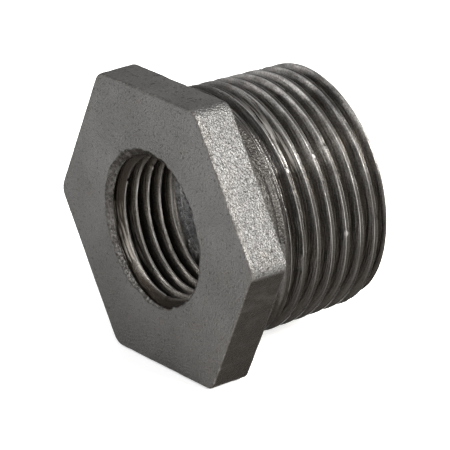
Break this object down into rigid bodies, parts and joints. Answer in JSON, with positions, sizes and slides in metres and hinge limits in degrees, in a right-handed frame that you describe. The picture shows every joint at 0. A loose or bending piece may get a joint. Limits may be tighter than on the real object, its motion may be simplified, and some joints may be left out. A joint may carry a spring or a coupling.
{
  "type": "hex bushing",
  "caption": "Hex reducing bushing in black malleable iron, with a tapered male pipe thread outside and a smaller female one inside.",
  "frame": {"origin": "on the axis, at the face of the hex head", "axes": "+X along the axis from the head's face to the threaded end, +Z out of the top flat, the bottom flat facing -Z"},
  "size_m": [0.02, 0.0338, 0.0294],
  "materials": {
    "cast_iron": "black as cast, with oiled machined threads"
  },
  "bodies": {
    "root": {"hex_bushing": "cast_iron"}
  },
  "joints": []
}
